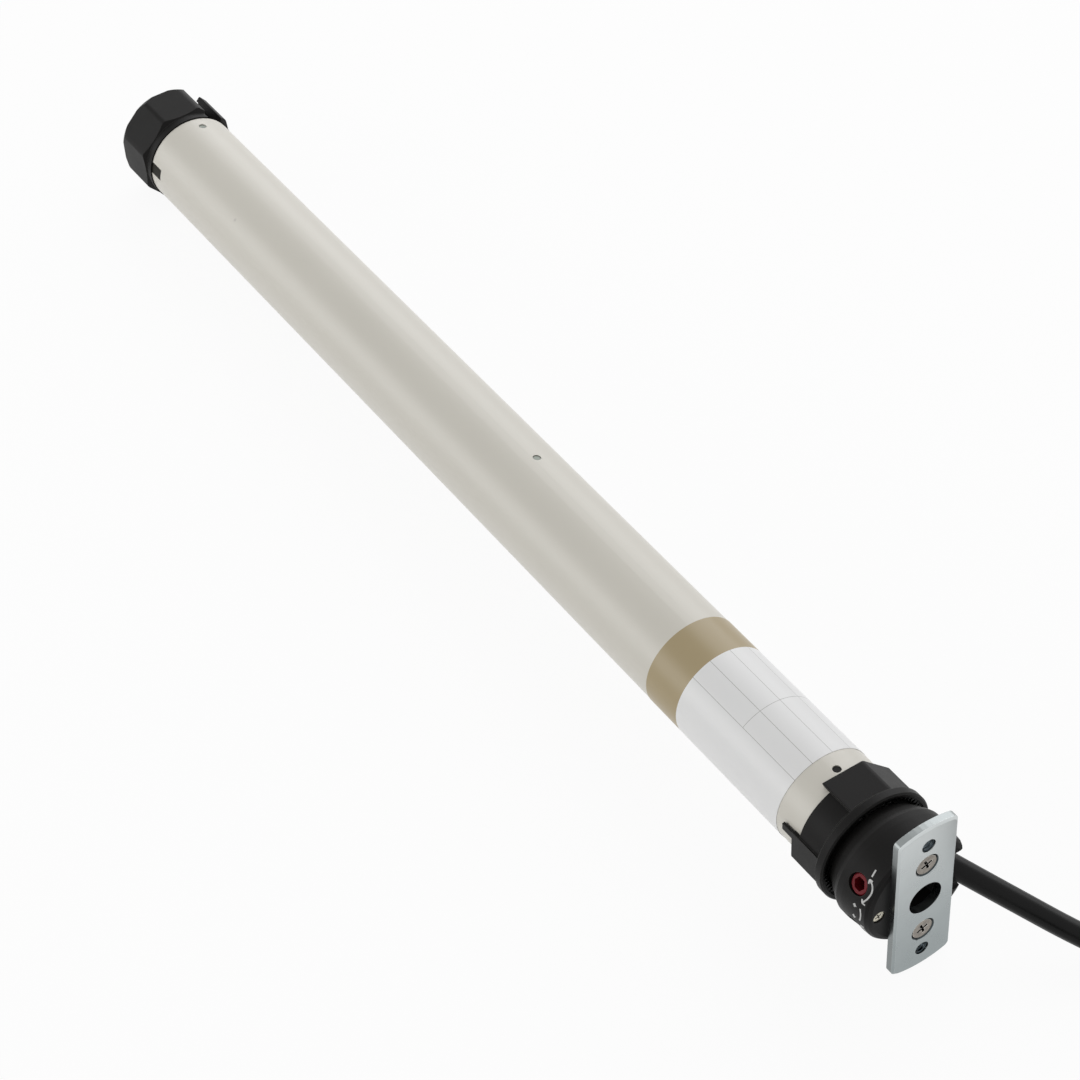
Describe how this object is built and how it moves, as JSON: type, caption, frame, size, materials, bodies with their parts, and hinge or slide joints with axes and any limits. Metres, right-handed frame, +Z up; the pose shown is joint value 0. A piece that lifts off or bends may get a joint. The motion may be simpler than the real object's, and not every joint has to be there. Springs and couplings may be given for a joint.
{
  "type": "tubular roller blind motor",
  "caption": "Slim tubular motor for a roller blind or shutter, with a plated wall plate, a head with two limit adjusters, a limit crown, a geared octagonal drive wheel and a cord.",
  "frame": {"origin": "centre of the mounting plate's outer face, on the tube's axis", "axes": "+X out of the head along the tube's axis, so the tube lies toward -X; +Z up along the plate's long side; +Y toward the side where the cord leaves"},
  "size_m": [0.6459, 0.1022, 0.0679],
  "materials": {
    "coated_steel": "powder coated, satin, cream",
    "label_film": "printed film",
    "screw_steel": "zinc plated",
    "zinc_steel": "zinc plated and blued",
    "black_polyamide": "glass filled, fine spark texture",
    "black_rubber": "moulded",
    "red_plastic": "moulded",
    "white_plastic": "moulded",
    "grey_plastic": "moulded",
    "brass_spindle": "turned",
    "cream_acetal": "moulded",
    "cast_shield": "die cast",
    "motor_sheet": "stacked sheet",
    "copper_wire": "enamelled copper",
    "bronze_bush": "sintered bronze",
    "ground_steel": "ground",
    "brake_lining": "pressed friction lining",
    "gear_steel": "sintered and hardened",
    "olive_plastic": "glass filled",
    "cord_sheath": "extruded sheath",
    "tie_plastic": "moulded",
    "core_plastic": "extruded core insulation"
  },
  "bodies": {
    "motor": {"tube": "coated_steel", "rating_label": "label_film", "fixing_rivets": "screw_steel", "mounting_plate": "zinc_steel", "plate_screws": "screw_steel", "head_body": "black_polyamide", "cover_screw": "screw_steel", "cord_plug": "black_rubber", "spigot_seal": "black_rubber", "limit_frame": "grey_plastic", "upper_switch": "black_polyamide", "lower_switch": "black_polyamide", "run_capacitor": "white_plastic", "capacitor_cushions": "black_rubber", "front_shield": "cast_shield", "stator_core": "motor_sheet", "stator_windings": "copper_wire", "rear_shield": "cast_shield", "shaft_bushes": "bronze_bush", "brake_housing": "cast_shield", "brake_spring": "ground_steel", "damping_ring": "black_rubber", "gearbox_cover": "grey_plastic", "ring_gear_housing": "gear_steel", "end_cap": "olive_plastic", "output_bush": "bronze_bush", "cord": "cord_sheath", "cord_coil": "cord_sheath", "coil_tie": "tie_plastic", "core_ends": "core_plastic"},
    "rotor": {"rotor_core": "motor_sheet", "rotor_shaft": "ground_steel", "brake_disc": "brake_lining", "sun_pinion": "gear_steel"},
    "first_carrier": {"carrier_1": "ground_steel"},
    "second_carrier": {"carrier_2": "ground_steel"},
    "output": {"output_carrier": "ground_steel", "drive_wheel": "black_polyamide", "wheel_washer": "screw_steel", "wheel_screw": "screw_steel"},
    "armature": {"brake_armature": "ground_steel"},
    "crown": {"crown": "black_polyamide"},
    "upper_spindle": {"upper_spindle": "brass_spindle"},
    "lower_spindle": {"lower_spindle": "brass_spindle"},
    "upper_nut": {"upper_nut": "cream_acetal"},
    "lower_nut": {"lower_nut": "cream_acetal"},
    "red_adjuster": {"red_adjuster": "red_plastic"},
    "white_adjuster": {"white_adjuster": "white_plastic"},
    "planet_1a": {"planet_1a": "gear_steel"},
    "planet_1b": {"planet_1b": "gear_steel"},
    "planet_1c": {"planet_1c": "gear_steel"},
    "planet_2a": {"planet_2a": "gear_steel"},
    "planet_2b": {"planet_2b": "gear_steel"},
    "planet_2c": {"planet_2c": "gear_steel"},
    "planet_3a": {"planet_3a": "gear_steel"},
    "planet_3b": {"planet_3b": "gear_steel"},
    "planet_3c": {"planet_3c": "gear_steel"}
  },
  "joints": [
    {"name": "rotor_spin", "type": "hinge", "parent": "motor", "child": "rotor", "pos_m": [-0.23, 0, 0], "axis": [1, 0, 0], "continuous": true},
    {"name": "carrier_1_spin", "type": "hinge", "parent": "motor", "child": "first_carrier", "pos_m": [-0.36, 0, 0], "axis": [1, 0, 0], "continuous": true},
    {"name": "carrier_2_spin", "type": "hinge", "parent": "motor", "child": "second_carrier", "pos_m": [-0.382, 0, 0], "axis": [1, 0, 0], "continuous": true},
    {"name": "output_spin", "type": "hinge", "parent": "motor", "child": "output", "pos_m": [-0.43, 0, 0], "axis": [1, 0, 0], "continuous": true},
    {"name": "planet_1a_spin", "type": "hinge", "parent": "first_carrier", "child": "planet_1a", "pos_m": [-0.3495, 0.00825, 0], "axis": [1, 0, 0], "continuous": true},
    {"name": "planet_1b_spin", "type": "hinge", "parent": "first_carrier", "child": "planet_1b", "pos_m": [-0.3495, -0.00413, 0.00714], "axis": [1, 0, 0], "continuous": true},
    {"name": "planet_1c_spin", "type": "hinge", "parent": "first_carrier", "child": "planet_1c", "pos_m": [-0.3495, -0.00413, -0.00714], "axis": [1, 0, 0], "continuous": true},
    {"name": "planet_2a_spin", "type": "hinge", "parent": "second_carrier", "child": "planet_2a", "pos_m": [-0.3715, 0.00825, 0], "axis": [1, 0, 0], "continuous": true},
    {"name": "planet_2b_spin", "type": "hinge", "parent": "second_carrier", "child": "planet_2b", "pos_m": [-0.3715, -0.00413, 0.00714], "axis": [1, 0, 0], "continuous": true},
    {"name": "planet_2c_spin", "type": "hinge", "parent": "second_carrier", "child": "planet_2c", "pos_m": [-0.3715, -0.00413, -0.00714], "axis": [1, 0, 0], "continuous": true},
    {"name": "planet_3a_spin", "type": "hinge", "parent": "output", "child": "planet_3a", "pos_m": [-0.3965, 0.00825, 0], "axis": [1, 0, 0], "continuous": true},
    {"name": "planet_3b_spin", "type": "hinge", "parent": "output", "child": "planet_3b", "pos_m": [-0.3965, -0.00413, 0.00714], "axis": [1, 0, 0], "continuous": true},
    {"name": "planet_3c_spin", "type": "hinge", "parent": "output", "child": "planet_3c", "pos_m": [-0.3965, -0.00413, -0.00714], "axis": [1, 0, 0], "continuous": true},
    {"name": "brake_lift", "type": "slide", "parent": "motor", "child": "armature", "axis": [1, 0, 0], "range_m": [0, 0.0004]},
    {"name": "crown_spin", "type": "hinge", "parent": "motor", "child": "crown", "pos_m": [-0.03, 0, 0], "axis": [1, 0, 0], "range_deg": [-3960, 3960]},
    {"name": "upper_spindle_spin", "type": "hinge", "parent": "motor", "child": "upper_spindle", "pos_m": [-0.05, 0, 0.0108], "axis": [1, 0, 0], "range_deg": [-9901, 9901]},
    {"name": "lower_spindle_spin", "type": "hinge", "parent": "motor", "child": "lower_spindle", "pos_m": [-0.05, 0, -0.0108], "axis": [1, 0, 0], "range_deg": [-9901, 9901]},
    {"name": "upper_nut_travel", "type": "slide", "parent": "motor", "child": "upper_nut", "axis": [1, 0, 0], "range_m": [-0.01101, 0.01101]},
    {"name": "lower_nut_travel", "type": "slide", "parent": "motor", "child": "lower_nut", "axis": [1, 0, 0], "range_m": [-0.01101, 0.01101]},
    {"name": "red_adjuster_turn", "type": "hinge", "parent": "motor", "child": "red_adjuster", "pos_m": [-0.01, -0.01703, 0.00887], "axis": [0, -0.887, 0.4617], "continuous": true},
    {"name": "white_adjuster_turn", "type": "hinge", "parent": "motor", "child": "white_adjuster", "pos_m": [-0.01, -0.01703, -0.00887], "axis": [0, -0.887, -0.4617], "continuous": true}
  ],
  "couplings": [
    {"joint": "carrier_1_spin", "follows": "rotor_spin", "ratio": 0.18182},
    {"joint": "carrier_2_spin", "follows": "rotor_spin", "ratio": 0.033058},
    {"joint": "output_spin", "follows": "rotor_spin", "ratio": 0.0060105},
    {"joint": "planet_1a_spin", "follows": "rotor_spin", "ratio": -0.46753},
    {"joint": "planet_1b_spin", "follows": "rotor_spin", "ratio": -0.46753},
    {"joint": "planet_1c_spin", "follows": "rotor_spin", "ratio": -0.46753},
    {"joint": "planet_2a_spin", "follows": "rotor_spin", "ratio": -0.085006},
    {"joint": "planet_2b_spin", "follows": "rotor_spin", "ratio": -0.085006},
    {"joint": "planet_2c_spin", "follows": "rotor_spin", "ratio": -0.085006},
    {"joint": "planet_3a_spin", "follows": "rotor_spin", "ratio": -0.015456},
    {"joint": "planet_3b_spin", "follows": "rotor_spin", "ratio": -0.015456},
    {"joint": "planet_3c_spin", "follows": "rotor_spin", "ratio": -0.015456},
    {"joint": "upper_spindle_spin", "follows": "crown_spin", "ratio": 2.5},
    {"joint": "lower_spindle_spin", "follows": "crown_spin", "ratio": 2.5},
    {"joint": "upper_nut_travel", "follows": "crown_spin", "m_per_rad": 0.00015915},
    {"joint": "lower_nut_travel", "follows": "crown_spin", "m_per_rad": 0.00015915}
  ]
}
